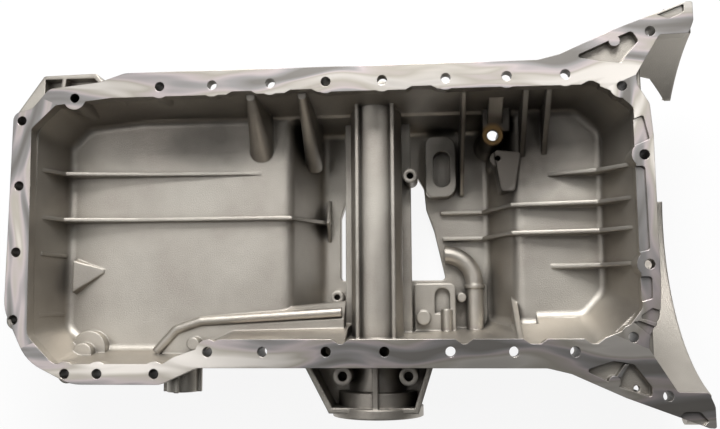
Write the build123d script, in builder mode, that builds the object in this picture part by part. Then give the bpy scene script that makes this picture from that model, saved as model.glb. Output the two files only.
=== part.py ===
"""Cast aluminium engine oil pan for a driven front axle.

One casting. The gasket rail is the plane z = 0 and the sump hangs below it. Two shallow
basins meet in a deep middle that opens downwards through a flange for a lower cover.
A round tunnel carries the axle across the deep middle, and half a bell housing closes
the rear end at +X. The origin is the centre of the four outer row bolts.
"""
from build123d import *

# ---- driving dimensions, mm ------------------------------------------------------------
RAIL = 12.0            # thickness of the gasket rail
WALL = 5.5             # cast wall
FLOOR_Z = -65.0        # inside of the two shallow basins
LEDGE_Z = -120.0       # inside of the deep middle
BASE_Z = -132.0        # face of the lower cover flange, and the lowest point of the bell
DEEP_START_Z = -57.0   # where the slopes of the deep middle begin
FLOOR_FILLET = 8.0     # inside radius between floor and walls

ROW_Y = 123.0          # the two long bolt rows
ROW_X = 162.0          # outer bolts of each row
BOLT_R = 4.5           # clearance for M8
BOSS_R = 11.0          # lobe of the rail round a bolt
COLUMN_R = 9.0         # bolt column under the rail
COLUMN_Z = -34.0       # foot of a bolt column

TUNNEL_X = -13.0       # axle line, which runs along Y
TUNNEL_Z = -65.0
TUNNEL_R = 25.0        # outside of the tunnel
TUNNEL_BORE_R = 20.5
BEARING_R = 31.0       # seat of the axle bearing in the side carrier
BEARING_DEPTH = 18.0
SEAL_R = 25.0          # seat of the shaft seal at the far wall
SEAL_DEPTH = 9.0

CRANK_Z = 46.0         # axis of the bell housing above the gasket plane
BELL_R = 168.0         # inside of the bell skirt
BELL_OUT_R = CRANK_Z - BASE_Z
BELL_X = 275.0         # gearbox face
BELL_FLANGE = 12.0
BULKHEAD_X = 229.0     # wall between sump and bell
BULKHEAD = 8.0
EAR_Y = 187.0          # outer edge of the ears
GEARBOX_BOLT_R = 5.5   # clearance for M10

# ---- bolts of the gasket rail ----------------------------------------------------------
FAR_ROW = [-ROW_X, -107.0, -55.0, -3.0, 55.0, 110.0, ROW_X]
NEAR_ROW = [-ROW_X, -112.0, -55.0, -3.0, 55.0, 110.0, ROW_X]
FRONT_X = -345.5
FRONT_PITCH = 62.5
FRONT_BOLTS = [(FRONT_X, FRONT_PITCH * (step - 1.5)) for step in range(4)]
REAR_BOLTS = [(228.0, 48.2), (228.0, -48.2), (211.3, 110.8), (211.3, -110.8)]
EAR_BOLTS = [(238.0, 160.3), (238.0, -160.3)]
FAR_CORNER_BOLTS = [(-294.4, 114.3), (-212.2, ROW_Y)]
NEAR_CORNER_BOLTS = [(-294.4, -142.5), (-264.0, -142.5), (-211.0, -142.5)]
ROW_BOLTS = [(x, ROW_Y) for x in FAR_ROW] + [(x, -ROW_Y) for x in NEAR_ROW]
RAIL_BOLTS = ROW_BOLTS + FRONT_BOLTS + REAR_BOLTS + FAR_CORNER_BOLTS + NEAR_CORNER_BOLTS
SHORT_HOLES = {(-162.0, ROW_Y), (-107.0, ROW_Y), (-3.0, ROW_Y), (55.0, ROW_Y), (110.0, ROW_Y)}
SHORT_HOLES |= {(162.0, ROW_Y), (55.0, -ROW_Y), (110.0, -ROW_Y), (228.0, -48.2)}
LONG_HOLES = [spot for spot in RAIL_BOLTS if spot not in SHORT_HOLES]

# ---- outlines, each point with its corner radius ---------------------------------------
EAR_SIDE = [(236.5, 66, 8), (234.5, 94, 8), (224.5, 112, 6), (224, 121, 4), (246, 157, 3)]
EAR_TIP = [(271.5, 157.5, 3), (276, 169, 8), (276, EAR_Y, 2), (270, 186.6, 3), (203, 162, 0)]
REAR_HALF = EAR_SIDE + EAR_TIP + [(158, 142, 14), (138, 137.2, 14)]
FRONT_FAR = [(-246, 137.2, 20), (-271, 129, 10), (-320, 124, 8), (-336, 105, 6), (-354, 101, 8)]
FRONT_NEAR = [(-354.5, -84, 40), (-331, -131, 45), (-288, -152, 40), (-205, -152, 12)]
RAIL_OUTER = REAR_HALF + FRONT_FAR + FRONT_NEAR + [(-172, -137.2, 14)]
RAIL_OUTER += [(x, -y, r) for x, y, r in reversed(REAR_HALF)]

RAIL_INNER = [(-336, 86, 6), (-313, 108, 5), (-258, 113.6, 10), (188, 113, 8), (207, 104, 8)]
RAIL_INNER += [(220.3, 91, 5), (220.3, -86, 8), (206, -104, 8), (186, -112, 8), (-152, -112, 8)]
RAIL_INNER += [(-168, -119, 6), (-193, -127.5, 8), (-203, -133.6, 6), (-306, -133.6, 12)]
RAIL_INNER += [(-331.5, -108, 14)]
FAR_NOTCHES = [(-149, -119), (-94, -62), (18, 48), (176, 192)]
NEAR_NOTCHES = [(-50, -34), (59, 75), (118, 139), (170, 187)]
NOTCH_RAMP = 6.0
NOTCH_R = 3.0
NOTCH_Y = 116.3

CAVITY_TOP = [(-335, 86, 12), (-313, 109, 12), (-256, NOTCH_Y, 12), (190, NOTCH_Y, 16)]
CAVITY_TOP += [(221.5, 90, 16), (221.5, -86, 16), (188, -NOTCH_Y, 16), (-152, -NOTCH_Y, 12)]
CAVITY_TOP += [(-203, -134.5, 12), (-307, -134.5, 16), (-333, -108, 16)]
CAVITY_FLOOR = [(-325, 80, 12), (-304, 100, 12), (-250, 105, 12), (180, 106, 16)]
CAVITY_FLOOR += [(203, 84, 16), (202, -70, 16), (182, -92, 16), (-150, -101, 12)]
CAVITY_FLOOR += [(-196, -124, 12), (-300, -124, 16), (-323, -102, 16)]
DEEP_TOP = [(-103, 107, 12), (123, 107, 12), (123, -102, 12), (-103, -102, 12)]
DEEP_FLOOR = [(-72, 99, 12), (99, 99, 12), (99, -97, 12), (-72, -97, 12)]
SLOPES = [(-118, -50, 0), (-118, FLOOR_Z, 0), (-99, FLOOR_Z, 14), (-72, LEDGE_Z, 9)]
SLOPES += [(99, LEDGE_Z, 9), (120, FLOOR_Z, 14), (138, FLOOR_Z, 0), (138, -50, 0)]
DEEP_FAR_Y = 99.0
DEEP_NEAR_Y = -97.0
DEEP_DRAFT = 5.0
BAY_TOP = [(-40, -60, 0), (120, -60, 0), (120, -115.5, 12), (-40, -115.5, 0)]
BAY_FLOOR = [(-40, -60, 0), (96, -60, 0), (96, -105, 12), (-40, -105, 0)]
FLANGE = [(-90, 114, 14), (104, 114, 0), (104, 70, 6), (117, 64, 6), (117, -112, 14), (-90, -112, 14)]
OPENING = [(-54.5, -56, 4), (54.5, -56, 4), (43, -5, 10), (35, 18, 10), (33, 40, 6)]
OPENING += [(26, 52, 5), (-40, 52, 8), (-54.5, 10, 10)]


def rounded(plane, points, grow=0.0):
    """Filled profile on a plane through (across, up, corner radius) points, grown all round."""
    with BuildSketch(plane) as face:
        with BuildLine():
            FilletPolyline([(a, b) for a, b, _ in points], radius=[r for _, _, r in points], close=True)
        make_face()
        if grow:
            offset(amount=grow, kind=Kind.INTERSECTION)
    return face.sketch


def outline(points, height=0.0, grow=0.0):
    """Filled outline through (x, y, corner radius) points at a height, grown sideways."""
    return rounded(Plane.XY.offset(height), points, grow)


def profile_along_x(points, y):
    """Upright profile of (x, z) points at one y."""
    with BuildSketch(Plane.XZ.offset(-y)) as face:
        with BuildLine():
            Polyline(points, close=True)
        make_face()
    return face.sketch


def profile_along_y(points, x):
    """Upright profile of (y, z) points at one x."""
    with BuildSketch(Plane.YZ.offset(x)) as face:
        with BuildLine():
            Polyline(points, close=True)
        make_face()
    return face.sketch


# ---- gasket rail with its ears ---------------------------------------------------------
with BuildPart() as rail:
    extrude(outline(RAIL_OUTER, -RAIL), amount=RAIL)
    with BuildSketch() as window:
        add(outline(RAIL_INNER))
        for side, edge_y, notches in ((1, 113, FAR_NOTCHES), (-1, -112, NEAR_NOTCHES)):
            for start, end in notches:
                with BuildLine():
                    FilletPolyline(
                        (start, edge_y - side * 2),
                        (start, edge_y),
                        (start + NOTCH_RAMP, side * NOTCH_Y),
                        (end - NOTCH_RAMP, side * NOTCH_Y),
                        (end, edge_y),
                        (end, edge_y - side * 2),
                        radius=[0, 0, NOTCH_R, NOTCH_R, 0, 0],
                        close=True,
                    )
                make_face()
        with Locations(*RAIL_BOLTS):
            Circle(BOSS_R, mode=Mode.SUBTRACT)
    extrude(window.sketch, amount=-RAIL, mode=Mode.SUBTRACT)

# ---- outside of the sump ---------------------------------------------------------------
with BuildPart() as sump:
    loft([outline(CAVITY_TOP, -RAIL, WALL), outline(CAVITY_FLOOR, FLOOR_Z - WALL, WALL)], ruled=True)
    loft([outline(DEEP_TOP, DEEP_START_Z, WALL), outline(DEEP_FLOOR, LEDGE_Z, WALL)], ruled=True)
    loft([outline(BAY_TOP, -RAIL, WALL), outline(BAY_FLOOR, LEDGE_Z, WALL)], ruled=True)
    extrude(outline(FLANGE, BASE_Z), amount=LEDGE_Z - BASE_Z)

# ---- hollow of the sump ----------------------------------------------------------------
with BuildPart() as deep_middle:
    extrude(rounded(Plane.XZ.offset(-DEEP_FAR_Y), SLOPES), amount=DEEP_FAR_Y - DEEP_NEAR_Y)
    end_walls = deep_middle.faces().filter_by(Axis.Y)
    draft(end_walls, neutral_plane=Plane.XY.offset(LEDGE_Z), angle=-DEEP_DRAFT)
    ledge_edges = deep_middle.edges().filter_by(Axis.X).group_by(Axis.Z)[0]
    fillet(ledge_edges, radius=FLOOR_FILLET)

with BuildPart() as basin:
    loft([outline(CAVITY_TOP, -RAIL), outline(CAVITY_FLOOR, FLOOR_Z)], ruled=True)
    fillet(basin.faces().sort_by(Axis.Z)[0].edges(), radius=FLOOR_FILLET)
    add(deep_middle.part)
    loft([outline(BAY_TOP, -RAIL), outline(BAY_FLOOR, LEDGE_Z)], ruled=True)

# ---- bell housing skirt ----------------------------------------------------------------
SKIRT = 7.0            # wall of the skirt
STARTER_GAP = (22.0, 119.0)
STARTER_GAP_Z = -76.0
FAR_CUT = [(BULKHEAD_X, -RAIL), (237, -RAIL), (238, -54), (251, -57), (270, -77)]
FAR_CUT += [(270, -BELL_OUT_R), (BULKHEAD_X, -BELL_OUT_R)]
BELL_BOLTS = [(176.0, -17.0), (134.0, -74.2), (-134.0, -74.2), (-176.0, -17.0)]
BELL_BOSS_R = 10.0
BELL_BOSS_LENGTH = 20.0


def bell_ring(x, outer_r, inner_r):
    """Lower half of a ring, or of a disc when inner_r is 0, about the crank axis at one x."""
    with BuildSketch(Plane.YZ.offset(x)) as ring:
        with Locations((0, CRANK_Z)):
            Circle(outer_r)
            if inner_r:
                Circle(inner_r, mode=Mode.SUBTRACT)
        with Locations((0, -RAIL / 2)):
            lower_half = (3 * BELL_R, 2 * BELL_R)
            Rectangle(*lower_half, align=(Align.CENTER, Align.MAX), mode=Mode.INTERSECT)
    return ring.sketch


with BuildPart() as bell:
    extrude(bell_ring(BULKHEAD_X - BULKHEAD, BELL_R + SKIRT, 0), amount=BULKHEAD)
    extrude(bell_ring(BULKHEAD_X, BELL_R + SKIRT, BELL_R), amount=BELL_X - BULKHEAD_X)
    extrude(bell_ring(BELL_X - BELL_FLANGE, BELL_OUT_R, BELL_R), amount=BELL_FLANGE)
    with Locations((BULKHEAD_X, STARTER_GAP[0], STARTER_GAP_Z)):
        starter_cut = (BELL_X - BULKHEAD_X, STARTER_GAP[1] - STARTER_GAP[0], BELL_OUT_R)
        Box(*starter_cut, align=(Align.MIN, Align.MIN, Align.MAX), mode=Mode.SUBTRACT)
    with BuildSketch(Plane.YZ.offset(BELL_X - BELL_BOSS_LENGTH)):
        with Locations(*BELL_BOLTS):
            Circle(BELL_BOSS_R)
    extrude(amount=BELL_BOSS_LENGTH)
    extrude(profile_along_x(FAR_CUT, STARTER_GAP[0]), amount=-BELL_OUT_R, mode=Mode.SUBTRACT)

# ---- webs under the ears ---------------------------------------------------------------
EAR_WEB_Z = -32.0
EAR_WEB = [(150, 137), (203, 160.5), (272, 185), (272, 178), (205, 153), (158, 130)]
with BuildPart() as ear_webs:
    extrude(outline([(x, y, 0) for x, y in EAR_WEB], EAR_WEB_Z), amount=-EAR_WEB_Z - RAIL / 2)
    mirror(about=Plane.XZ)

# ---- bolt columns under the rail -------------------------------------------------------
with BuildPart() as columns:
    with Locations(*[(x, y, -RAIL / 2) for x, y in LONG_HOLES]):
        Cylinder(COLUMN_R, -COLUMN_Z - RAIL / 2, align=(Align.CENTER, Align.CENTER, Align.MAX))

# ---- side carrier for the axle bearing -------------------------------------------------
CARRIER_Y = -185.0     # face of the carrier
CARRIER_PLATE = 9.0
CARRIER_R = 43.0
CARRIER_TUBE_R = 27.0
CARRIER_BELL_R = 37.0
CARRIER_BELL = 14.0    # length of the wide end of the carrier tube
CARRIER_TOP_Z = -30.0
CARRIER_WEB_Z = -98.0
CARRIER_WEB = 5.0
CARRIER_FOOT = [(-79, -105), (-79, -137), (-56, -180), (26, -180), (40, -137), (40, -105)]
CARRIER_RIB_Z = (-54.0, -24.0)      # rib along the top of the tube
CARRIER_ROOT_Y = -105.0
CARRIER_BOSSES = [(-42.5, -146.0), (17.5, -146.0)]
CARRIER_BOSS_R = 8.5
CARRIER_BOSS_Z = -22.0
CARRIER_HOLE_R = 4.25
CARRIER_FACE_BOLTS = (52.0, 52.0)   # spacing of the four bolts in the carrier face
CARRIER_FACE_BOLT_R = 2.6           # tapped for M6

with BuildPart() as carrier:
    with BuildSketch(Plane.XY.offset(CARRIER_WEB_Z)):
        add(outline([(x, y, 0) for x, y in CARRIER_FOOT]))
        add(outline([(x, y, 0) for x, y in CARRIER_FOOT], grow=-CARRIER_WEB), mode=Mode.SUBTRACT)
    extrude(amount=CARRIER_TOP_Z - CARRIER_WEB_Z)
    with BuildSketch(Plane.XY.offset(TUNNEL_Z - CARRIER_WEB / 2)):
        add(outline([(x, y, 0) for x, y in CARRIER_FOOT]))
    extrude(amount=CARRIER_WEB)
    with Locations(*[(x, y, CARRIER_BOSS_Z) for x, y in CARRIER_BOSSES]):
        boss_height = CARRIER_BOSS_Z - TUNNEL_Z
        Cylinder(CARRIER_BOSS_R, boss_height, align=(Align.CENTER, Align.CENTER, Align.MAX))
    for radius, start_y, end_y in (
        (CARRIER_TUBE_R, CARRIER_ROOT_Y, CARRIER_Y),
        (CARRIER_BELL_R, CARRIER_Y + CARRIER_PLATE + CARRIER_BELL, CARRIER_Y),
    ):
        with BuildSketch(Plane.XZ.offset(-start_y)):
            with Locations((TUNNEL_X, TUNNEL_Z)):
                Circle(radius)
        extrude(amount=start_y - end_y)
    with BuildSketch(Plane.XZ.offset(-CARRIER_Y - CARRIER_PLATE)):
        with Locations((TUNNEL_X, TUNNEL_Z)):
            Circle(CARRIER_R)
    extrude(amount=CARRIER_PLATE)
    with Locations((TUNNEL_X, CARRIER_ROOT_Y, CARRIER_RIB_Z[1])):
        rib_size = (CARRIER_WEB, CARRIER_ROOT_Y - CARRIER_Y, CARRIER_RIB_Z[1] - CARRIER_RIB_Z[0])
        Box(*rib_size, align=(Align.CENTER, Align.MAX, Align.MAX))

# ---- bracket lug and sensor boss at the front ------------------------------------------
LUG_TOP = -14.0
LUG_FOOT = -62.0
LUG = [(-358, 104, 3), (-332, 141, 4), (-280, 142, 4), (-268, 128, 0), (-285, 100, 0), (-330, 80, 0)]
LUG_CELLS = [
    [(-331, 110, 0), (-331, 137.5, 0), (-314, 137.5, 0), (-318, 110, 0)],
    [(-310, 137.5, 0), (-282, 137.5, 0), (-274, 128, 0), (-314, 110, 0)],
]
LUG_CELL_DEPTH = 12.0
SENSOR_X = -195.0
SENSOR_Z = -37.0
SENSOR_Y = -161.0
SENSOR_R = 15.0
SENSOR_ROOT_Y = -115.0
SENSOR_RIBS = [(4, 42), (36, 4)]
SENSOR_HOLE_R = 7.0
SENSOR_HOLE_DEPTH = 37.0

with BuildPart() as lug:
    extrude(outline(LUG, LUG_FOOT), amount=LUG_TOP - LUG_FOOT)
    for cell in LUG_CELLS:
        extrude(outline(cell, LUG_TOP - LUG_CELL_DEPTH), amount=LUG_CELL_DEPTH, mode=Mode.SUBTRACT)

with BuildPart() as sensor_boss:
    with BuildSketch(Plane.XZ.offset(-SENSOR_ROOT_Y)):
        with Locations((SENSOR_X, SENSOR_Z)):
            Circle(SENSOR_R)
            for rib_size in SENSOR_RIBS:
                Rectangle(*rib_size)
    extrude(amount=SENSOR_ROOT_Y - SENSOR_Y)

# ---- webs on the outside of the sump ---------------------------------------------------
OUTER_WEB = 4.0
OUTER_WEB_ROWS = (-62.0, 4.0, 60.0)
FRONT_WEB = [(-320, -60), (-290, -80), (-100, -92), (-80, -92), (-80, -60)]
REAR_WEB = [(100, -60), (100, -118), (BULKHEAD_X - 4, -118), (BULKHEAD_X - 4, -60)]
with BuildPart() as outer_webs:
    for web_y in OUTER_WEB_ROWS:
        extrude(profile_along_x(FRONT_WEB, web_y), amount=OUTER_WEB / 2, both=True)
        extrude(profile_along_x(REAR_WEB, web_y), amount=OUTER_WEB / 2, both=True)

# ---- axle tunnel -----------------------------------------------------------------------
STRIP_HALF = 33.0      # half width of the side strips
STRIP_Z = (-96.0, -87.0)
CROWN_RIB = 17.0       # from the axle line to a crown rib
CROWN_RIB_WIDTH = 3.5
CROWN_Z = -38.0
TUNNEL_ENDS = (-118.0, 112.0)
FAR_BOSS_R = 34.0
FAR_BOSS_Y = 131.0
FAR_BOSS_ROOT_Y = 100.0

with BuildPart() as tunnel:
    with BuildSketch(Plane.XZ.offset(-TUNNEL_ENDS[0])):
        with Locations((TUNNEL_X, TUNNEL_Z)):
            Circle(TUNNEL_R)
        with Locations((TUNNEL_X, STRIP_Z[0])):
            strip_size = (2 * STRIP_HALF, STRIP_Z[1] - STRIP_Z[0])
            Rectangle(*strip_size, align=(Align.CENTER, Align.MIN))
        with Locations((TUNNEL_X - CROWN_RIB, CROWN_Z), (TUNNEL_X + CROWN_RIB, CROWN_Z)):
            Rectangle(CROWN_RIB_WIDTH, CROWN_Z - TUNNEL_Z, align=(Align.CENTER, Align.MAX))
    extrude(amount=TUNNEL_ENDS[0] - TUNNEL_ENDS[1])

with BuildPart() as far_boss:
    with BuildSketch(Plane.XZ.offset(-FAR_BOSS_Y)):
        with Locations((TUNNEL_X, TUNNEL_Z)):
            Circle(FAR_BOSS_R)
    extrude(amount=FAR_BOSS_Y - FAR_BOSS_ROOT_Y)

# ---- ribs, gallery, pipe and bosses inside ---------------------------------------------
RIB = 3.6
BELOW = -131.0         # inner forms run down to here and are cut back to the sump
FRONT_RIBS = {
    50.0: [(-336, -14), (-321, -44), (-250, -56), (-128, -64.8)],
    4.0: [(-336, -14), (-321, -44), (-250, -56), (-96, -58), (-64, -113)],
}
REAR_RIBS = {
    43.0: [(223, -14), (195, -44), (153, -64.8)],
    13.0: [(223, -14), (195, -44), (116, -57), (92, -111), (50, -114)],
    -14.0: [(223, -14), (195, -44), (116, -57), (92, -111), (52, -114)],
    -46.0: [(223, -14), (195, -44), (153, -64.8)],
}
WALL_RIDGES = (-31.0, -89.0)
WALL_RIDGE = [(-336, -18), (-331, -22), (-323.5, -60), (-336, -64)]
GUSSETS = [
    (72.0, 4.0, [(114, -14), (31, -114)]),
    (129.0, 5.0, [(114, -14), (60, -66)]),
    (150.0, 5.0, [(114, -14), (62, -66)]),
    (118.0, 5.0, [(-117, -14), (-60, -96)]),
    (-66.0, 3.0, [(28, -119), (4, -103), (-15, -119)]),
    (103.0, 14.0, [(114, -30), (92, -61)]),
    (104.5, 26.0, [(114, -56), (86, -61)]),
]
BUTTRESSES = [(-128.0, 12.0, 60.0, -66.0), (-79.0, 9.0, 54.0, -96.0)]
BUTTRESS_NOSE = 0.9         # nose radius over half the width at the foot
BUTTRESS_HEAD = (4.0, 110.3, 3.5)   # half width, tip and nose radius at the rail
BUTTRESS_ROOT_Y = 126.0
SHELF_FOOT = [(-236, -128, 0), (-214, -97, 8), (-185, -89, 8), (-44, -77, 0), (-44, -128, 0)]
SHELF_TOP = [(-226, -128, 0), (-208, -108, 8), (-183, -101, 8), (-44, -94, 0), (-44, -128, 0)]
SHELF_Z = -50.0
CREST = [(-226, -125), (-207, -104), (-183, -96), (-46, -88)]
CREST_BEND = 8.0
CREST_R = 4.5
PIPE_R = 9.0
PIPE_Z = -113.0
PIPE_BEND = 30.0
PIPE_X = 83.0
PIPE_BEND_Y = -60.0
PIPE_START_Y = -112.0
PIPE_COLLAR = (10.5, 4.0)   # radius and length
PIPE_COLLAR_Y = -65.0
INNER_COLUMN = 32.0         # length of the bolt columns that show inside


def buttress_section(middle_x, half, tip_y, nose_r, height):
    """Level section of a wall buttress, from its root in the wall to its rounded tip."""
    left = middle_x - half
    right = middle_x + half
    points = [(left, BUTTRESS_ROOT_Y, 0), (left, tip_y, nose_r)]
    points += [(right, tip_y, nose_r), (right, BUTTRESS_ROOT_Y, 0)]
    return outline(points, height)


with BuildPart() as ribs:
    for rib_y, top_edge in (FRONT_RIBS | REAR_RIBS).items():
        rib_foot = [(top_edge[-1][0], BELOW), (top_edge[0][0], BELOW)]
        extrude(profile_along_x(top_edge + rib_foot, rib_y), amount=RIB / 2, both=True)
    for ridge_y in WALL_RIDGES:
        extrude(profile_along_x(WALL_RIDGE, ridge_y), amount=RIB / 2, both=True)
    for gusset_x, thickness, top_edge in GUSSETS:
        gusset_foot = [(top_edge[-1][0], BELOW), (top_edge[0][0], BELOW)]
        extrude(profile_along_y(top_edge + gusset_foot, gusset_x), amount=thickness / 2, both=True)
    for middle_x, foot_half, foot_y, foot_z in BUTTRESSES:
        foot = buttress_section(middle_x, foot_half, foot_y, BUTTRESS_NOSE * foot_half, foot_z)
        head = buttress_section(middle_x, *BUTTRESS_HEAD, -RAIL)
        loft([foot, head], ruled=True)

with BuildPart() as gallery:
    loft([outline(SHELF_FOOT, FLOOR_Z - 5), outline(SHELF_TOP, SHELF_Z)], ruled=True)
    with BuildLine(Plane.XY.offset(SHELF_Z)) as crest_line:
        FilletPolyline(*CREST, radius=CREST_BEND)
    with BuildSketch(Plane(origin=crest_line.line @ 0, z_dir=crest_line.line % 0)):
        Circle(CREST_R)
    sweep(path=crest_line.line)

with BuildPart() as oil_pipe:
    with BuildLine(Plane.XY.offset(PIPE_Z)) as pipe_line:
        Line((PIPE_X, PIPE_START_Y), (PIPE_X, PIPE_BEND_Y))
        CenterArc((PIPE_X - PIPE_BEND, PIPE_BEND_Y), PIPE_BEND, 0, 90)
    with BuildSketch(Plane(origin=(PIPE_X, PIPE_START_Y, PIPE_Z), x_dir=(1, 0, 0), z_dir=(0, 1, 0))):
        Circle(PIPE_R)
    sweep(path=pipe_line.line)
    with BuildSketch(Plane.XZ.offset(-PIPE_COLLAR_Y)):
        with Locations((PIPE_X, PIPE_Z)):
            Circle(PIPE_COLLAR[0])
    extrude(amount=-PIPE_COLLAR[1])

ROUND_BOSSES = [
    (105.5, 59.5, 7.5, -66.0),      # beside the drilled pillar
    (-57.0, -73.0, 6.5, -106.0),    # on the ledge
    (-187.0, -117.0, 6.0, -38.0),   # behind the rail
    (-296.0, -122.0, 17.0, -54.0),  # front corner, wide step
    (-298.0, -126.0, 9.5, -44.0),   # front corner, narrow step
    (31.0, -94.0, 7.0, -92.0),      # on the saddle block
    (69.5, -74.0, 4.5, -104.0),     # between saddle and pipe
]
STRIP_BOSS = (20.0, 44.0)        # on the edge of the tunnel strip
STRIP_BOSS_R = 7.0
STRIP_BOSS_Z = -62.0
PILLAR = (101.0, 82.0)
PILLAR_Z = -60.0
PILLAR_FOOT_R = 16.0
PILLAR_TOP_R = 10.0
PILLAR_HOLE_R = 5.5    # clearance for M10
PILLAR_ROOF = 6.0
# room for the bolt under the pillar, open to the outside
PILLAR_SLOT = [(94.8, 125, 0), (94.8, 75.6, 6), (107.3, 75.6, 6), (107.8, 90, 0)]
PILLAR_SLOT += [(114, 97, 0), (114, 125, 0)]
SADDLE = [(22, -60, 3), (63, -60, 6), (63, -112, 0), (22, -112, 0)]
SADDLE_Z = -98.0
SADDLE_SLOT = [(42.5, -90, 0), (57.5, -90, 0), (57.5, -64.5, 7.4), (42.5, -64.5, 7.4)]
SADDLE_SLOT_DEPTH = 6.0
SADDLE_STUD = (54.0, -86.0)     # lying stud across the end of the slot
SADDLE_STUD_R = 5.5
SADDLE_STUD_LENGTH = 22.0
PORT = [(35, 28, 8), (66, 28, 12), (66, 91, 12), (35, 91, 8)]
PORT_Z = -100.0
PORT_SLOT = [(43, 38, 8), (60, 38, 8), (60, 75, 8), (43, 75, 8)]
PORT_DEPTH = 14.0
STEP_PAD = [(102, 68, 3), (128, 65, 3), (121, 27, 4), (108, 27, 4)]
STEP_PAD_Z = -62.0
WEDGE_HEEL = [(-33, -70), (-36, -55), (-67, -55), (-70, -70)]
WEDGE_HEEL_X = -315.0
WEDGE_TOE = [(-44, -70), (-44, -64), (-48, -64), (-48, -70)]
WEDGE_TOE_X = -287.0

with BuildPart() as bosses:
    for boss_x, boss_y, boss_r, top_z in ROUND_BOSSES:
        with Locations((boss_x, boss_y, top_z)):
            Cylinder(boss_r, top_z - BELOW, align=(Align.CENTER, Align.CENTER, Align.MAX))
    with Locations((*STRIP_BOSS, STRIP_BOSS_Z)):
        strip_boss_length = STRIP_BOSS_Z - STRIP_Z[0]
        Cylinder(STRIP_BOSS_R, strip_boss_length, align=(Align.CENTER, Align.CENTER, Align.MAX))
    with Locations((*PILLAR, BELOW)):
        pillar_size = (PILLAR_FOOT_R, PILLAR_TOP_R, PILLAR_Z - BELOW)
        Cone(*pillar_size, align=(Align.CENTER, Align.CENTER, Align.MIN))
    extrude(outline(SADDLE, BELOW), amount=SADDLE_Z - BELOW)
    extrude(outline(PORT, BELOW), amount=PORT_Z - BELOW)
    extrude(outline(STEP_PAD, BELOW), amount=STEP_PAD_Z - BELOW)
    loft([profile_along_y(WEDGE_HEEL, WEDGE_HEEL_X), profile_along_y(WEDGE_TOE, WEDGE_TOE_X)], ruled=True)
    extrude(outline(SADDLE_SLOT, SADDLE_Z), amount=-SADDLE_SLOT_DEPTH, mode=Mode.SUBTRACT)
    with BuildSketch(Plane.XZ.offset(-SADDLE_STUD[1])):
        with Locations((SADDLE_STUD[0], SADDLE_Z)):
            Circle(SADDLE_STUD_R)
    extrude(amount=SADDLE_STUD_LENGTH)
    extrude(outline(PORT_SLOT, PORT_Z), amount=-PORT_DEPTH, mode=Mode.SUBTRACT)

# ---- recesses in the machined ears -----------------------------------------------------
POCKET_DEPTH = 7.0
FAR_POCKET = [(170, 139, 2), (202, 153, 3), (222, 161.5, 4), (227.5, 152, 3), (211, 132, 3), (193, 134, 2)]
NEAR_POCKET = [(169, -139, 2), (194, -131, 2), (211, -134, 4), (225, -153, 4), (225, -162, 3)]
NEAR_POCKET += [(198, -153, 3)]
CROSS_RIB = [(206.5, -134), (203, -134), (196, -144), (199.5, -145)]
REAR_STEPS = [
    [(219, 80, 0), (228.5, 84, 2), (233, 62, 2), (219, 56, 0)],
    [(219, 38, 0), (228, 38, 3), (228.8, -36, 3), (219, -38, 0)],
    [(219, -59, 0), (229.5, -59, 3), (229, -78, 2), (219, -81, 0)],
    [(219, -92, 0), (228.5, -86, 1), (240, -90, 0), (240, -97, 0), (233, -99, 1), (219, -95, 0)],
    [(212, -98, 0), (217, -97, 0), (238, -105, 0), (238, -110, 0), (226, -110, 1), (221, -106, 1)],
]
REAR_STEP_DEPTH = 3.0
FAR_POST = (206.4, 152.6)
NEAR_CRESCENT = [(246, -178, 0), (251, -173.5, 5), (264, -173.5, 5), (270, -181, 0), (262, -188, 0)]
POCKET_POST = (194.0, -148.5)
POCKET_POST_R = 5.0
TIP_NOTCH = [(245, 175.5, 0), (268.5, 184.6, 1), (268, 177.4, 2), (255, 171, 3)]
TIP_NOTCH_DEPTH = 3.0

with BuildPart() as ear_pockets:
    extrude(outline(FAR_POCKET), amount=-POCKET_DEPTH)
    extrude(outline(NEAR_POCKET), amount=-POCKET_DEPTH)
    extrude(outline([(x, y, 0) for x, y in CROSS_RIB]), amount=-POCKET_DEPTH, mode=Mode.SUBTRACT)
    with Locations((*POCKET_POST, 0)):
        Cylinder(POCKET_POST_R, 2 * POCKET_DEPTH, mode=Mode.SUBTRACT)
    with Locations((*FAR_POST, 0)):
        Cylinder(POCKET_POST_R, 2 * POCKET_DEPTH, mode=Mode.SUBTRACT)
    extrude(outline(TIP_NOTCH), amount=-TIP_NOTCH_DEPTH)
    extrude(outline(NEAR_CRESCENT), amount=-TIP_NOTCH_DEPTH)
    for step in REAR_STEPS:
        extrude(outline(step), amount=-REAR_STEP_DEPTH)

# ---- casting ---------------------------------------------------------------------------
COVER_BOLTS = [(-64.0, -68.0), (64.0, -68.0), (-64.0, 62.0), (64.0, 62.0)]
COVER_BOLTS += [(0.0, -68.0), (0.0, 62.0), (-64.0, -3.0), (64.0, -3.0)]
COVER_BOLT_R = 2.6
COVER_BOLT_DEPTH = 9.0
LONGEST_BOLT = 40.0    # deeper than any bolt column or carrier boss
DRILLED_BOSSES = [
    (20.0, 44.0, -62.0, 3.2, 20.0),
    (105.5, 59.5, -62.0, 2.6, 14.0),
    (-57.0, -73.0, -106.0, 3.0, 10.0),
    (213.6, -154.7, -POCKET_DEPTH, 2.7, RAIL - POCKET_DEPTH),
]

with BuildPart() as inside:
    add([ribs.part, gallery.part, oil_pipe.part, bosses.part, tunnel.part])
    with Locations(*[(x, y, -RAIL) for x, y in FAR_CORNER_BOLTS + REAR_BOLTS[:2]]):
        Cylinder(BOSS_R, INNER_COLUMN, align=(Align.CENTER, Align.CENTER, Align.MAX))
    add(sump.part, mode=Mode.INTERSECT)

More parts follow.
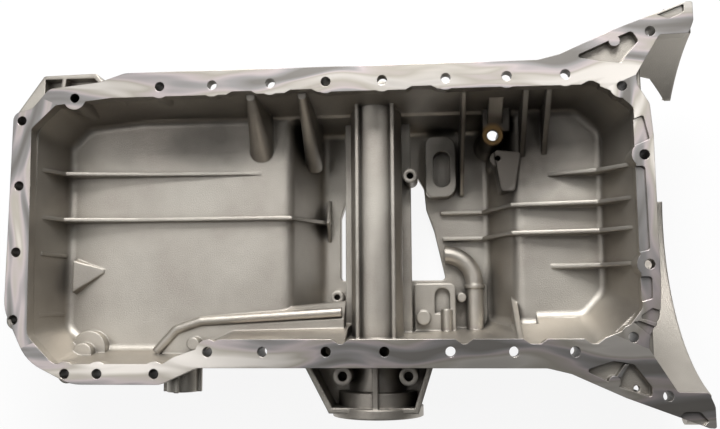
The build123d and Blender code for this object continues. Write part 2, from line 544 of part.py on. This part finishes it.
with BuildPart() as pan_casting:
    add([rail.part, sump.part, bell.part, ear_webs.part, columns.part, carrier.part])
    add([lug.part, sensor_boss.part, outer_webs.part, far_boss.part])
    add(basin.part, mode=Mode.SUBTRACT)
    add(inside.part)
    with BuildSketch(Plane.XY.offset(BASE_Z)):
        add(outline(OPENING))
    extrude(amount=LEDGE_Z - BASE_Z, mode=Mode.SUBTRACT)
    for radius, start_y, end_y in (
        (TUNNEL_BORE_R, FAR_BOSS_Y, CARRIER_Y),
        (BEARING_R, CARRIER_Y + BEARING_DEPTH, CARRIER_Y),
        (SEAL_R, FAR_BOSS_Y, FAR_BOSS_Y - SEAL_DEPTH),
    ):
        with BuildSketch(Plane.XZ.offset(-start_y)):
            with Locations((TUNNEL_X, TUNNEL_Z)):
                Circle(radius)
        extrude(amount=start_y - end_y, mode=Mode.SUBTRACT)
    with BuildSketch(Plane.XZ.offset(-SENSOR_Y)):
        with Locations((SENSOR_X, SENSOR_Z)):
            Circle(SENSOR_HOLE_R)
    extrude(amount=-SENSOR_HOLE_DEPTH, mode=Mode.SUBTRACT)
    with BuildSketch(Plane.XZ.offset(-CARRIER_Y)):
        with Locations((TUNNEL_X, TUNNEL_Z)):
            with GridLocations(*CARRIER_FACE_BOLTS, 2, 2):
                Circle(CARRIER_FACE_BOLT_R)
    extrude(amount=-CARRIER_PLATE, mode=Mode.SUBTRACT)
    add(ear_pockets.part, mode=Mode.SUBTRACT)
    with Locations(*[(x, y, 0) for x, y in RAIL_BOLTS + EAR_BOLTS]):
        Cylinder(BOLT_R, 2 * LONGEST_BOLT, mode=Mode.SUBTRACT)
    with BuildSketch(Plane.YZ.offset(BELL_X)):
        with Locations(*BELL_BOLTS):
            Circle(GEARBOX_BOLT_R)
    extrude(amount=-BELL_BOSS_LENGTH, mode=Mode.SUBTRACT)
    with Locations(*[(x, y, CARRIER_BOSS_Z) for x, y in CARRIER_BOSSES]):
        Cylinder(CARRIER_HOLE_R, LONGEST_BOLT, mode=Mode.SUBTRACT)
    with Locations(*[(x, y, BASE_Z) for x, y in COVER_BOLTS]):
        Cylinder(COVER_BOLT_R, 2 * COVER_BOLT_DEPTH, mode=Mode.SUBTRACT)
    with Locations((*PILLAR, PILLAR_Z)):
        Cylinder(PILLAR_HOLE_R, 4 * PILLAR_ROOF, mode=Mode.SUBTRACT)
    extrude(outline(PILLAR_SLOT, BASE_Z), amount=PILLAR_Z - PILLAR_ROOF - BASE_Z, mode=Mode.SUBTRACT)
    for hole_x, hole_y, top_z, hole_r, depth in DRILLED_BOSSES:
        with Locations((hole_x, hole_y, top_z)):
            Cylinder(hole_r, 2 * depth, mode=Mode.SUBTRACT)

pan_casting.part.label = "pan_casting"
export_step(pan_casting.part, "parts/pan_casting.step")
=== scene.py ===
"""Dresses the cast engine oil pan and sets up a plain studio round it."""
from math import radians

import bpy
import numpy as np
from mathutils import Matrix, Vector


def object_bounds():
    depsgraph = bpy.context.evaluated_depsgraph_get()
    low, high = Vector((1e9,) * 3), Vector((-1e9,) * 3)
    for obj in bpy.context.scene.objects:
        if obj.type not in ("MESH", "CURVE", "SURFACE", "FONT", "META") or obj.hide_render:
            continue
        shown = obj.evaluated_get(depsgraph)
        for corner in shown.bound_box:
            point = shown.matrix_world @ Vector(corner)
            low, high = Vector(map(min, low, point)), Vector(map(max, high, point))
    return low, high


bl_info = {
    "name": "Cast Oil Pan",
    "version": (1, 0, 0),
    "blender": (4, 5, 0),
    "location": "3D View > Sidebar > Oil Pan",
    "description": "Finishes a cast engine oil pan and lights it on a pale floor",
    "category": "Object",
}

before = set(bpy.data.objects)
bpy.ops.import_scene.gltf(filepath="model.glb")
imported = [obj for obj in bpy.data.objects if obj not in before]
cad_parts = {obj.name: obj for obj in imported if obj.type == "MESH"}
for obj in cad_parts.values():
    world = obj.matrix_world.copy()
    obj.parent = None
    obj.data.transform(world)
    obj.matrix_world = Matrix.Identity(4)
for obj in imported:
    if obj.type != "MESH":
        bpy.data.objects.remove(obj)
CAD_BOX = [list(map(float, corner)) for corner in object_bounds()]
FLOOR_Z = CAD_BOX[0][2]

# milled faces: axis, place on it in metres, and the way the face looks
MILLED_FACES = (
    ("Z", 0.0, 1.0),  # gasket face
    ("Z", -0.003, 1.0),  # recesses in the rail
    ("Z", FLOOR_Z, -1.0),  # lower flange
    ("X", 0.275, 1.0),  # bell housing
    ("Y", -0.185, -1.0),  # bearing carrier
    ("Y", 0.131, 1.0),  # far end of the tunnel
)
FACE_TOLERANCE = 0.0002
FACING_LIMIT = 0.95

# rail: a long rectangle round its middle, in metres
RAIL_MIDDLE_X = -0.058
RAIL_HALF_LENGTH = 0.287
RAIL_HALF_DEPTH = 0.123

# cutter sweeps: noise scale along and across the rail, its layer, and how far the path drifts
SWEEPS_ALONG = 7.0
SWEEPS_ACROSS = 48.0
SWEEPS_LAYER = 9.2
SWEEPS_DETAIL = 2.0
SWEEPS_ROUGHNESS = 0.45
SWEEPS_RANGE = (0.3, 0.7)
DRIFT_SCALE = 7.0
DRIFT_DETAIL = 1.0
DRIFT_ROUGHNESS = 0.5
DRIFT_REACH = 0.060
# place on the ramp, brightness, and tint of each band of a sweep
SWEEP_BANDS = (
    (0.36, 0.42, (1.0, 1.0, 1.0)),
    (0.44, 0.70, (0.96, 0.98, 1.04)),
    (0.49, 1.05, (1.04, 0.97, 1.04)),
    (0.55, 0.92, (1.02, 1.0, 0.94)),
    (0.63, 1.50, (1.0, 1.0, 1.0)),
)

# cast skin: cloudy patches between a darker and a lighter metal, and fine grain over them
CLOUDS_SCALE = 14.0
CLOUDS_DETAIL = 3.0
CLOUDS_ROUGHNESS = 0.6
CLOUDS_RANGE = (0.35, 0.65)
DARKER_CAST = (0.80, 0.77, 0.76)
LIGHTER_CAST = (1.14, 1.15, 1.15)
GRAIN_DETAIL = 2.0
GRAIN_ROUGHNESS = 0.6
GRAIN_RANGE = (0.3, 0.7)
GRAIN_SHARE = 0.8
GRAIN_HEIGHT = 0.00025

# painted shade near the far walls: middle and reach of each dark patch in metres, and its share
PAINTED_SHADE_PATCHES = (
    ((0.086, 0.066, -0.055), (0.080, 0.058, 0.060), 0.88),
    ((0.165, 0.085, -0.080), (0.075, 0.050, 0.060), 0.55),
    ((-0.190, 0.095, -0.095), (0.160, 0.048, 0.045), 0.70),
)
PAINTED_SHADE_COLOR = (0.045, 0.038, 0.032)
SHADE_PATCH_RAGGED = 0.8
SHADE_PATCH_EDGE = (0.2, 0.75)

# oxide ring round the pillar hole: full inside the first radius, none past the second
PILLAR_HOLE = (0.101, 0.082, -0.060)
OXIDE_COLOR = (0.20, 0.12, 0.045)
OXIDE_RADII = (0.009, 0.013)
OXIDE_SHARE = 0.85

# painted shade in holes and corners: the part of open sky at which it is darkest and at which it
# clears
CREVICE_SHADE_COLOR = (0.02, 0.018, 0.016)
CREVICE_SHADE_RANGE = (0.08, 0.72)
CREVICE_SHADE_LEAST = 0.16

# roughness added where the pattern is at its low and at its high end
CAST_ROUGHNESS_STEPS = (-0.04, 0.05)
MILLED_ROUGHNESS_STEPS = (0.10, -0.06)
METAL_SHARE = 0.9
# parts of the edge radius and of the grain that the milled faces keep
MILLED_EDGE = 0.3
MILLED_GRAIN = 0.1
# rays that the soft edges and the painted shade in the hollows take at each point
PIXEL_SAMPLES = 6

FLOOR_COLOR = (0.9, 0.9, 0.9, 1.0)
FLOOR_ROUGHNESS = 0.9
FLOOR_GLOW = 0.9

# name, place, aim and width of each lamp, in metres, and the setting that holds its power
LAMPS = (
    ("key_lamp", (-0.05, 1.30, 1.00), (0.0, 0.0, -0.08), 1.0, "key_power"),
    ("fill_lamp", (-0.78, 0.04, 1.20), (-0.15, 0.0, -0.05), 0.8, "fill_power"),
    ("ear_lamp", (0.58, 0.34, 1.2), (0.24, 0.08, 0.0), 0.45, "ear_power"),
)
CAMERA_PLACE = (0.03895, -0.08813, 0.71194)
CAMERA_TURN = (6.98, 5.0, -0.92)
SENSOR_WIDTH = 36.0

FINISH_SETTINGS = (
    "cast_color",
    "cast_roughness",
    "grain_size",
    "edge_radius",
    "crevice_shade_reach",
    "machined_color",
    "machined_roughness",
)
STUDIO_SETTINGS = (
    "floor_width",
    "key_power",
    "fill_power",
    "ear_power",
    "sky_level",
    "focal_length",
)


class CastingFinish(bpy.types.PropertyGroup):
    """Colours and textures of the casting."""

    cast_color: bpy.props.FloatVectorProperty(
        name="Cast skin",
        description="Colour of the aluminium as it leaves the mould",
        subtype="COLOR",
        size=3,
        min=0.0,
        max=1.0,
        default=(0.445, 0.415, 0.370),
    )
    cast_roughness: bpy.props.FloatProperty(
        name="Cast roughness",
        description="Roughness of the cast skin",
        min=0.0,
        max=1.0,
        default=0.44,
    )
    grain_size: bpy.props.FloatProperty(
        name="Grain",
        description="Width of the grains of the cast skin",
        subtype="DISTANCE",
        unit="LENGTH",
        default=0.0009,
    )
    edge_radius: bpy.props.FloatProperty(
        name="Edge radius",
        description="Rounding of the edges of the cast skin",
        subtype="DISTANCE",
        unit="LENGTH",
        default=0.0024,
    )
    # painted shade: how far ambient occlusion darkens holes and corners
    crevice_shade_reach: bpy.props.FloatProperty(
        name="Hollow reach",
        description="Distance within which holes and corners darken",
        subtype="DISTANCE",
        unit="LENGTH",
        default=0.016,
    )
    machined_color: bpy.props.FloatVectorProperty(
        name="Machined face",
        description="Colour of freshly milled aluminium",
        subtype="COLOR",
        size=3,
        min=0.0,
        max=1.0,
        default=(0.435, 0.410, 0.380),
    )
    machined_roughness: bpy.props.FloatProperty(
        name="Machined roughness",
        description="Roughness of the milled faces",
        min=0.0,
        max=1.0,
        default=0.36,
    )


class StudioSetup(bpy.types.PropertyGroup):
    """Floor, lamps and camera."""

    floor_width: bpy.props.FloatProperty(
        name="Floor width",
        description="Side of the square floor",
        subtype="DISTANCE",
        unit="LENGTH",
        default=80.0,
    )
    key_power: bpy.props.FloatProperty(
        name="Key lamp",
        description="Power of the large soft lamp behind the far wall",
        subtype="POWER",
        unit="POWER",
        default=46.0,
    )
    fill_power: bpy.props.FloatProperty(
        name="Fill lamp",
        description="Power of the lamp over the front basin",
        subtype="POWER",
        unit="POWER",
        default=4.0,
    )
    ear_power: bpy.props.FloatProperty(
        name="Ear lamp",
        description="Power of the small lamp over the far ear",
        subtype="POWER",
        unit="POWER",
        default=1.6,
    )
    sky_level: bpy.props.FloatProperty(
        name="Sky",
        description="Strength of the even light from all round",
        min=0.0,
        default=0.07,
    )
    focal_length: bpy.props.FloatProperty(
        name="Focal length",
        description="Focal length on a 36 mm wide sensor, in millimetres",
        min=1.0,
        default=40.0,
    )


def math_node(nodes, links, operation, *values):
    """Math node fed with sockets or numbers."""
    node = nodes.new("ShaderNodeMath")
    node.operation = operation
    for index, value in enumerate(values):
        if isinstance(value, bpy.types.NodeSocket):
            links.new(value, node.inputs[index])
        else:
            node.inputs[index].default_value = value
    return node.outputs[0]


def face_mask(nodes, links, position, normal, axis, place, sign):
    """1 on the plane where a coordinate equals place and the normal looks along sign, else 0."""
    coordinate = position.outputs[axis]
    on_plane = math_node(nodes, links, "COMPARE", coordinate, place, FACE_TOLERANCE)
    facing = math_node(nodes, links, "MULTIPLY", normal.outputs[axis], sign)
    looks = math_node(nodes, links, "GREATER_THAN", facing, FACING_LIMIT)
    return math_node(nodes, links, "MULTIPLY", on_plane, looks)


def highest(nodes, links, sockets):
    """The largest of several values."""
    result = sockets[0]
    for socket in sockets[1:]:
        result = math_node(nodes, links, "MAXIMUM", result, socket)
    return result


def noise(nodes, links, vector, scale, detail, roughness):
    """Value of a noise on a vector."""
    node = nodes.new("ShaderNodeTexNoise")
    node.inputs["Scale"].default_value = scale
    node.inputs["Detail"].default_value = detail
    node.inputs["Roughness"].default_value = roughness
    links.new(vector, node.inputs["Vector"])
    return node.outputs["Fac"]


def spread(nodes, links, socket, low, high, to_low, to_high):
    """Map a value from low..high to to_low..to_high, and hold it there beyond."""
    node = nodes.new("ShaderNodeMapRange")
    node.inputs["From Min"].default_value = low
    node.inputs["From Max"].default_value = high
    node.inputs["To Min"].default_value = to_low
    node.inputs["To Max"].default_value = to_high
    links.new(socket, node.inputs["Value"])
    return node.outputs["Result"]


def tint(nodes, links, amount, color_a, color_b):
    """Mix two colours or colour sockets by an amount socket."""
    node = nodes.new("ShaderNodeMix")
    node.data_type = "RGBA"
    for name, value in (("Factor", amount), ("A", color_a), ("B", color_b)):
        socket = [s for s in node.inputs if s.name == name and s.enabled][0]
        if isinstance(value, bpy.types.NodeSocket):
            links.new(value, socket)
        else:
            socket.default_value = (*value, 1.0)
    return [s for s in node.outputs if s.enabled][0]


def blend_values(nodes, links, amount, value_a, value_b):
    """Mix two value sockets by an amount socket."""
    node = nodes.new("ShaderNodeMix")
    links.new(amount, node.inputs[0])
    links.new(value_a, node.inputs[2])
    links.new(value_b, node.inputs[3])
    return node.outputs[0]


def rail_path(nodes, links, position):
    """Coordinates along and across the rail, which runs round a long rectangle.

    |y| / half depth above |x - middle| / half length picks the two long sides.
    """
    shifted = math_node(nodes, links, "SUBTRACT", position.outputs["X"], RAIL_MIDDLE_X)
    reach_x = math_node(nodes, links, "ABSOLUTE", shifted)
    reach_x = math_node(nodes, links, "DIVIDE", reach_x, RAIL_HALF_LENGTH)
    reach_y = math_node(nodes, links, "ABSOLUTE", position.outputs["Y"])
    reach_y = math_node(nodes, links, "DIVIDE", reach_y, RAIL_HALF_DEPTH)
    long_side = math_node(nodes, links, "GREATER_THAN", reach_y, reach_x)
    along = blend_values(nodes, links, long_side, position.outputs["Y"], position.outputs["X"])
    across = blend_values(nodes, links, long_side, position.outputs["X"], position.outputs["Y"])
    return along, across


def milled_colors(nodes, links, coords, position, base):
    """Colour and streak value of the milled faces: long uneven sweeps of the cutter.

    A noise is stretched along the rail, and a slower one bends its path to and fro.
    """
    along, across = rail_path(nodes, links, position)
    drift = noise(nodes, links, coords, DRIFT_SCALE, DRIFT_DETAIL, DRIFT_ROUGHNESS)
    across = math_node(nodes, links, "MULTIPLY_ADD", drift, DRIFT_REACH, across)
    path = nodes.new("ShaderNodeCombineXYZ")
    links.new(math_node(nodes, links, "MULTIPLY", along, SWEEPS_ALONG), path.inputs["X"])
    links.new(math_node(nodes, links, "MULTIPLY", across, SWEEPS_ACROSS), path.inputs["Y"])
    path.inputs["Z"].default_value = SWEEPS_LAYER
    sweeps = noise(nodes, links, path.outputs[0], 1.0, SWEEPS_DETAIL, SWEEPS_ROUGHNESS)
    ramp = nodes.new("ShaderNodeValToRGB")
    elements = ramp.color_ramp.elements
    for index, (place, level, shade) in enumerate(SWEEP_BANDS):
        band = elements[index] if index < 2 else elements.new(place)
        band.position = place
        color = (min(1.0, level * channel * part) for channel, part in zip(base, shade))
        band.color = (*color, 1.0)
    links.new(sweeps, ramp.inputs["Fac"])
    return ramp.outputs["Color"], sweeps


def painted_shade_patch(nodes, links, coords, clouds, middle, reach, strength):
    """Share of a dark patch of painted shade over an ellipsoid, with an edge made ragged by the
    clouds.
    """
    spot = nodes.new("ShaderNodeVectorMath")
    spot.operation = "SUBTRACT"
    spot.inputs[1].default_value = middle
    links.new(coords, spot.inputs[0])
    scaled = nodes.new("ShaderNodeVectorMath")
    scaled.operation = "DIVIDE"
    scaled.inputs[1].default_value = reach
    links.new(spot.outputs[0], scaled.inputs[0])
    distance = nodes.new("ShaderNodeVectorMath")
    distance.operation = "LENGTH"
    links.new(scaled.outputs[0], distance.inputs[0])
    ragged = math_node(
        nodes, links, "MULTIPLY_ADD", clouds, -SHADE_PATCH_RAGGED, distance.outputs["Value"]
    )
    return spread(nodes, links, ragged, *SHADE_PATCH_EDGE, strength, 0.0)


def cast_skin_color(nodes, links, coords, clouds, grain, cast):
    """Cast metal in cloudy patches and grain, with painted shade near the far walls and the
    oxide ring on it.
    """
    darker = tuple(part * channel for part, channel in zip(DARKER_CAST, cast))
    lighter = tuple(min(1.0, part * channel) for part, channel in zip(LIGHTER_CAST, cast))
    cloud_share = spread(nodes, links, clouds, *CLOUDS_RANGE, 0.0, 1.0)
    patches = tint(nodes, links, cloud_share, darker, lighter)
    grain_share = spread(nodes, links, grain, *GRAIN_RANGE, 0.0, GRAIN_SHARE)
    color = tint(nodes, links, grain_share, patches, tuple(cast))

    # painted shade: dark patches near the far walls stand in for the walls' shadow
    for middle, reach, strength in PAINTED_SHADE_PATCHES:
        shade_patch = painted_shade_patch(nodes, links, coords, clouds, middle, reach, strength)
        color = tint(nodes, links, shade_patch, color, PAINTED_SHADE_COLOR)

    ring = nodes.new("ShaderNodeVectorMath")
    ring.operation = "DISTANCE"
    ring.inputs[1].default_value = PILLAR_HOLE
    links.new(coords, ring.inputs[0])
    oxide = spread(nodes, links, ring.outputs["Value"], *OXIDE_RADII, OXIDE_SHARE, 0.0)
    return tint(nodes, links, oxide, color, OXIDE_COLOR)


def casting_material(finish):
    """Cast skin everywhere, with milled faces where the tool has been."""
    material = bpy.data.materials.new("cast_aluminium")
    material.use_nodes = True
    nodes = material.node_tree.nodes
    links = material.node_tree.links
    shader = nodes["Principled BSDF"]
    coords = nodes.new("ShaderNodeTexCoord").outputs["Object"]
    position = nodes.new("ShaderNodeSeparateXYZ")
    links.new(coords, position.inputs[0])
    geometry = nodes.new("ShaderNodeNewGeometry")
    normal = nodes.new("ShaderNodeSeparateXYZ")
    links.new(geometry.outputs["Normal"], normal.inputs[0])
    masks = [face_mask(nodes, links, position, normal, *face) for face in MILLED_FACES]
    milled = highest(nodes, links, masks)

    clouds = noise(nodes, links, coords, CLOUDS_SCALE, CLOUDS_DETAIL, CLOUDS_ROUGHNESS)
    grain = noise(nodes, links, coords, 1.0 / finish.grain_size, GRAIN_DETAIL, GRAIN_ROUGHNESS)
    cast_color = cast_skin_color(nodes, links, coords, clouds, grain, finish.cast_color)
    milled_color, sweeps = milled_colors(nodes, links, coords, position, finish.machined_color)
    skin_color = tint(nodes, links, milled, cast_color, milled_color)
    # painted shade: ambient occlusion darkens the base colour in holes and corners
    hollow = nodes.new("ShaderNodeAmbientOcclusion")
    hollow.samples = PIXEL_SAMPLES
    hollow.inputs["Distance"].default_value = finish.crevice_shade_reach
    open_share = spread(nodes, links, hollow.outputs["AO"], *CREVICE_SHADE_RANGE, CREVICE_SHADE_LEAST, 1.0)
    shaded = tint(nodes, links, open_share, CREVICE_SHADE_COLOR, skin_color)
    links.new(shaded, shader.inputs["Base Color"])

    cast_limits = [finish.cast_roughness + step for step in CAST_ROUGHNESS_STEPS]
    rough_cast = spread(nodes, links, clouds, *CLOUDS_RANGE, *cast_limits)
    milled_limits = [finish.machined_roughness + step for step in MILLED_ROUGHNESS_STEPS]
    rough_milled = spread(nodes, links, sweeps, *SWEEPS_RANGE, *milled_limits)
    roughness = blend_values(nodes, links, milled, rough_cast, rough_milled)
    links.new(roughness, shader.inputs["Roughness"])

    # soft edges: small on the milled faces, larger on the cast skin
    edge = nodes.new("ShaderNodeBevel")
    edge.samples = PIXEL_SAMPLES
    radius_step = (MILLED_EDGE - 1.0) * finish.edge_radius
    radius = math_node(nodes, links, "MULTIPLY_ADD", milled, radius_step, finish.edge_radius)
    links.new(radius, edge.inputs["Radius"])
    bump = nodes.new("ShaderNodeBump")
    bump.inputs["Distance"].default_value = GRAIN_HEIGHT
    links.new(grain, bump.inputs["Height"])
    strength = math_node(nodes, links, "MULTIPLY_ADD", milled, MILLED_GRAIN - 1.0, 1.0)
    links.new(strength, bump.inputs["Strength"])
    links.new(edge.outputs[0], bump.inputs["Normal"])
    links.new(bump.outputs[0], shader.inputs["Normal"])
    shader.inputs["Metallic"].default_value = METAL_SHARE
    return material


def floor_material():
    """Pale floor that holds the shadow, and is white where it is looked at or mirrored."""
    material = bpy.data.materials.new("pale_floor")
    material.use_nodes = True
    nodes = material.node_tree.nodes
    links = material.node_tree.links
    shader = nodes["Principled BSDF"]
    shader.inputs["Base Color"].default_value = FLOOR_COLOR
    shader.inputs["Roughness"].default_value = FLOOR_ROUGHNESS
    glow = nodes.new("ShaderNodeEmission")
    glow.inputs["Strength"].default_value = 1.0
    path = nodes.new("ShaderNodeLightPath")
    rays = ("Is Camera Ray", "Is Glossy Ray", "Is Transmission Ray")
    seen = highest(nodes, links, [path.outputs[ray] for ray in rays])
    share = math_node(nodes, links, "MULTIPLY", seen, FLOOR_GLOW)
    mix = nodes.new("ShaderNodeMixShader")
    links.new(share, mix.inputs[0])
    links.new(shader.outputs[0], mix.inputs[1])
    links.new(glow.outputs[0], mix.inputs[2])
    links.new(mix.outputs[0], nodes["Material Output"].inputs["Surface"])
    return material


def area_lamp(name, place, aim, width, power):
    """Square area lamp at a place, aimed at a point."""
    lamp = bpy.data.lights.new(name, "AREA")
    lamp.shape = "SQUARE"
    lamp.size = width
    lamp.energy = power
    holder = bpy.data.objects.new(name, lamp)
    bpy.context.scene.collection.objects.link(holder)
    holder.location = place
    direction = np.array(aim) - np.array(place)
    pitch = np.arctan2(np.hypot(direction[0], direction[1]), -direction[2])
    turn = np.arctan2(direction[1], direction[0]) - np.pi / 2
    holder.rotation_euler = (float(pitch), 0.0, float(turn))


class OBJECT_OT_finish_casting(bpy.types.Operator):
    """Give the casting its cast skin and milled faces"""

    bl_idname = "object.finish_oil_pan_casting"
    bl_label = "Finish Casting"

    def execute(self, context):
        casting = bpy.data.objects["pan_casting"]
        material = casting_material(context.scene.oil_pan_finish)
        for slot in casting.material_slots:
            slot.material = material
        return {"FINISHED"}


class SCENE_OT_oil_pan_studio(bpy.types.Operator):
    """Lay the floor, hang the lamps and place the camera"""

    bl_idname = "scene.oil_pan_studio"
    bl_label = "Set Up Studio"

    def execute(self, context):
        scene = context.scene
        setup = scene.oil_pan_studio
        half = setup.floor_width / 2
        corners = [(-half, -half), (half, -half), (half, half), (-half, half)]
        mesh = bpy.data.meshes.new("floor")
        mesh.from_pydata([(x, y, FLOOR_Z) for x, y in corners], [], [(0, 1, 2, 3)])
        floor = bpy.data.objects.new("floor", mesh)
        scene.collection.objects.link(floor)
        floor.data.materials.append(floor_material())

        for name, place, aim, width, setting in LAMPS:
            area_lamp(name, place, aim, width, getattr(setup, setting))
        world = bpy.data.worlds.new("studio_sky")
        world.use_nodes = True
        sky = world.node_tree.nodes["Background"]
        sky.inputs["Color"].default_value = (1.0, 1.0, 1.0, 1.0)
        sky.inputs["Strength"].default_value = setup.sky_level
        scene.world = world

        camera = bpy.data.cameras.new("camera")
        camera.sensor_width = SENSOR_WIDTH
        camera.sensor_fit = "HORIZONTAL"
        camera.lens = setup.focal_length
        camera.dof.use_dof = False
        holder = bpy.data.objects.new("camera", camera)
        scene.collection.objects.link(holder)
        holder.location = CAMERA_PLACE
        holder.rotation_mode = "ZYX"
        holder.rotation_euler = [radians(angle) for angle in CAMERA_TURN]
        scene.camera = holder
        scene.view_settings.view_transform = "Standard"
        return {"FINISHED"}


class VIEW3D_PT_oil_pan(bpy.types.Panel):
    """Oil pan tools in the sidebar"""

    bl_label = "Oil Pan"
    bl_idname = "VIEW3D_PT_oil_pan"
    bl_space_type = "VIEW_3D"
    bl_region_type = "UI"
    bl_category = "Oil Pan"

    def draw(self, context):
        layout = self.layout
        finish = context.scene.oil_pan_finish
        for name in FINISH_SETTINGS:
            layout.prop(finish, name)
        layout.operator(OBJECT_OT_finish_casting.bl_idname)
        setup = context.scene.oil_pan_studio
        for name in STUDIO_SETTINGS:
            layout.prop(setup, name)
        layout.operator(SCENE_OT_oil_pan_studio.bl_idname)


CLASSES = (
    CastingFinish,
    StudioSetup,
    OBJECT_OT_finish_casting,
    SCENE_OT_oil_pan_studio,
    VIEW3D_PT_oil_pan,
)


def register():
    """Add the classes and their settings."""
    for cls in CLASSES:
        bpy.utils.register_class(cls)
    bpy.types.Scene.oil_pan_finish = bpy.props.PointerProperty(type=CastingFinish)
    bpy.types.Scene.oil_pan_studio = bpy.props.PointerProperty(type=StudioSetup)


def unregister():
    """Take the settings and the classes away again."""
    del bpy.types.Scene.oil_pan_studio
    del bpy.types.Scene.oil_pan_finish
    for cls in reversed(CLASSES):
        bpy.utils.unregister_class(cls)


def main():
    """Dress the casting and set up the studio."""
    register()
    bpy.ops.object.finish_oil_pan_casting()
    bpy.ops.scene.oil_pan_studio()


if __name__ == "__main__":
    main()
